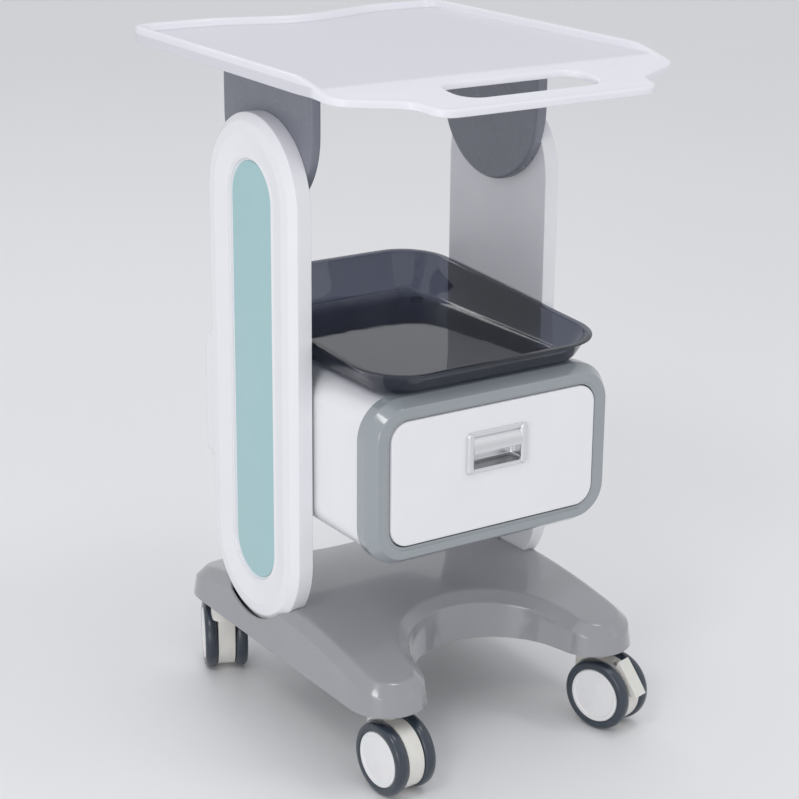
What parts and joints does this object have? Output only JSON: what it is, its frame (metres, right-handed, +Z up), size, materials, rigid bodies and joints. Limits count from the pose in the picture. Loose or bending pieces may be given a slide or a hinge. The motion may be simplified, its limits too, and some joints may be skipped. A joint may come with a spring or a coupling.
{
  "type": "medical equipment trolley",
  "caption": "Wheeled trolley for a portable ultrasound machine: top tray with a handle on upright columns, lift-out tray, drawer cabinet and a base on swivel casters.",
  "frame": {"origin": "on the floor under the middle of the object's box", "axes": "+X right, +Y to the rear, +Z up; the front, with the handle and the drawer, is -Y"},
  "size_m": [0.522, 0.626, 0.932],
  "materials": {
    "white_shell": "moulded ABS, gloss",
    "tray_white": "moulded ABS, satin gloss",
    "cover_grey": "moulded ABS, satin",
    "accent_teal": "moulded ABS, satin gloss",
    "base_grey": "moulded ABS, gloss",
    "bezel_grey": "moulded ABS, gloss",
    "ear_grey": "satin powder coat",
    "smoked_acrylic": "polished, tinted",
    "frame_steel": "semi-gloss powder coat",
    "rail_steel": "zinc plated",
    "pull_metal": "satin nickel plated",
    "pin_steel": "zinc plated",
    "caster_nylon": "moulded nylon, satin",
    "hub_plastic": "moulded polypropylene",
    "tyre_rubber": "polyurethane, satin gloss"
  },
  "bodies": {
    "frame": {"base_shell": "base_grey", "base_frame": "frame_steel", "frame_bolts": "rail_steel", "top_tray": "tray_white", "cabinet_shell": "white_shell", "cabinet_bezel": "bezel_grey", "left_column_shell": "white_shell", "left_column_cover": "cover_grey", "left_accent_strip": "accent_teal", "left_post": "frame_steel", "left_ear": "ear_grey", "left_cabinet_rail": "rail_steel", "right_column_shell": "white_shell", "right_column_cover": "cover_grey", "right_accent_strip": "accent_teal", "right_post": "frame_steel", "right_ear": "ear_grey", "right_cabinet_rail": "rail_steel", "fl_stem": "pin_steel", "fr_stem": "pin_steel", "rl_stem": "pin_steel", "rr_stem": "pin_steel"},
    "drawer": {"drawer_box": "cover_grey", "drawer_front": "white_shell", "pull_frame": "pull_metal", "pull_grip": "pull_metal", "left_drawer_rail": "rail_steel", "right_drawer_rail": "rail_steel"},
    "mid_rails": {"left_mid_rail": "rail_steel", "right_mid_rail": "rail_steel"},
    "lift_tray": {"smoked_tray": "smoked_acrylic"},
    "fl_swivel": {"fl_hood": "caster_nylon", "fl_axle": "pin_steel"},
    "fl_outer_wheel": {"fl_outer_hub": "hub_plastic", "fl_outer_tyre": "tyre_rubber"},
    "fl_inner_wheel": {"fl_inner_hub": "hub_plastic", "fl_inner_tyre": "tyre_rubber"},
    "fr_swivel": {"fr_hood": "caster_nylon", "fr_axle": "pin_steel", "fr_pedal_pin": "pin_steel"},
    "fr_outer_wheel": {"fr_outer_hub": "hub_plastic", "fr_outer_tyre": "tyre_rubber"},
    "fr_inner_wheel": {"fr_inner_hub": "hub_plastic", "fr_inner_tyre": "tyre_rubber"},
    "fr_pedal": {"fr_brake_pedal": "caster_nylon"},
    "rl_swivel": {"rl_hood": "caster_nylon", "rl_axle": "pin_steel", "rl_pedal_pin": "pin_steel"},
    "rl_outer_wheel": {"rl_outer_hub": "hub_plastic", "rl_outer_tyre": "tyre_rubber"},
    "rl_inner_wheel": {"rl_inner_hub": "hub_plastic", "rl_inner_tyre": "tyre_rubber"},
    "rl_pedal": {"rl_brake_pedal": "caster_nylon"},
    "rr_swivel": {"rr_hood": "caster_nylon", "rr_axle": "pin_steel"},
    "rr_outer_wheel": {"rr_outer_hub": "hub_plastic", "rr_outer_tyre": "tyre_rubber"},
    "rr_inner_wheel": {"rr_inner_hub": "hub_plastic", "rr_inner_tyre": "tyre_rubber"}
  },
  "joints": [
    {"name": "drawer_slide", "type": "slide", "parent": "frame", "child": "drawer", "axis": [0, -1, 0], "range_m": [0, 0.3]},
    {"name": "mid_rail_slide", "type": "slide", "parent": "frame", "child": "mid_rails", "axis": [0, -1, 0], "range_m": [0, 0.15]},
    {"name": "tray_lift", "type": "slide", "parent": "frame", "child": "lift_tray", "axis": [0, 0, 1], "range_m": [0, 0.12]},
    {"name": "fl_swivel_turn", "type": "hinge", "parent": "frame", "child": "fl_swivel", "pos_m": [-0.173, -0.2115, 0.1], "axis": [0, 0, 1], "continuous": true},
    {"name": "fl_outer_spin", "type": "hinge", "parent": "fl_swivel", "child": "fl_outer_wheel", "pos_m": [-0.17105, -0.23943, 0.05], "axis": [0.9976, 0.0698, 0], "continuous": true},
    {"name": "fl_inner_spin", "type": "hinge", "parent": "fl_swivel", "child": "fl_inner_wheel", "pos_m": [-0.17105, -0.23943, 0.05], "axis": [0.9976, 0.0698, 0], "continuous": true},
    {"name": "fr_swivel_turn", "type": "hinge", "parent": "frame", "child": "fr_swivel", "pos_m": [0.173, -0.2115, 0.1], "axis": [0, 0, 1], "continuous": true},
    {"name": "fr_outer_spin", "type": "hinge", "parent": "fr_swivel", "child": "fr_outer_wheel", "pos_m": [0.18072, -0.23842, 0.05], "axis": [0.9613, 0.2756, 0], "continuous": true},
    {"name": "fr_inner_spin", "type": "hinge", "parent": "fr_swivel", "child": "fr_inner_wheel", "pos_m": [0.18072, -0.23842, 0.05], "axis": [0.9613, 0.2756, 0], "continuous": true},
    {"name": "fr_pedal_tilt", "type": "hinge", "parent": "fr_swivel", "child": "fr_pedal", "pos_m": [0.18513, -0.2538, 0.086], "axis": [-0.9613, -0.2756, 0], "range_deg": [0, 12]},
    {"name": "rl_swivel_turn", "type": "hinge", "parent": "frame", "child": "rl_swivel", "pos_m": [-0.19, 0.184, 0.1], "axis": [0, 0, 1], "continuous": true},
    {"name": "rl_outer_spin", "type": "hinge", "parent": "rl_swivel", "child": "rl_outer_wheel", "pos_m": [-0.17861, 0.20958, 0.05], "axis": [-0.9135, 0.4067, 0], "continuous": true},
    {"name": "rl_inner_spin", "type": "hinge", "parent": "rl_swivel", "child": "rl_inner_wheel", "pos_m": [-0.17861, 0.20958, 0.05], "axis": [-0.9135, 0.4067, 0], "continuous": true},
    {"name": "rl_pedal_tilt", "type": "hinge", "parent": "rl_swivel", "child": "rl_pedal", "pos_m": [-0.1721, 0.2242, 0.086], "axis": [0.9135, -0.4067, 0], "range_deg": [0, 12]},
    {"name": "rr_swivel_turn", "type": "hinge", "parent": "frame", "child": "rr_swivel", "pos_m": [0.19, 0.184, 0.1], "axis": [0, 0, 1], "continuous": true},
    {"name": "rr_outer_spin", "type": "hinge", "parent": "rr_swivel", "child": "rr_outer_wheel", "pos_m": [0.19486, 0.21157, 0.05], "axis": [-0.9848, 0.1736, 0], "continuous": true},
    {"name": "rr_inner_spin", "type": "hinge", "parent": "rr_swivel", "child": "rr_inner_wheel", "pos_m": [0.19486, 0.21157, 0.05], "axis": [-0.9848, 0.1736, 0], "continuous": true}
  ],
  "couplings": [
    {"joint": "mid_rail_slide", "follows": "drawer_slide", "ratio": 0.5}
  ]
}
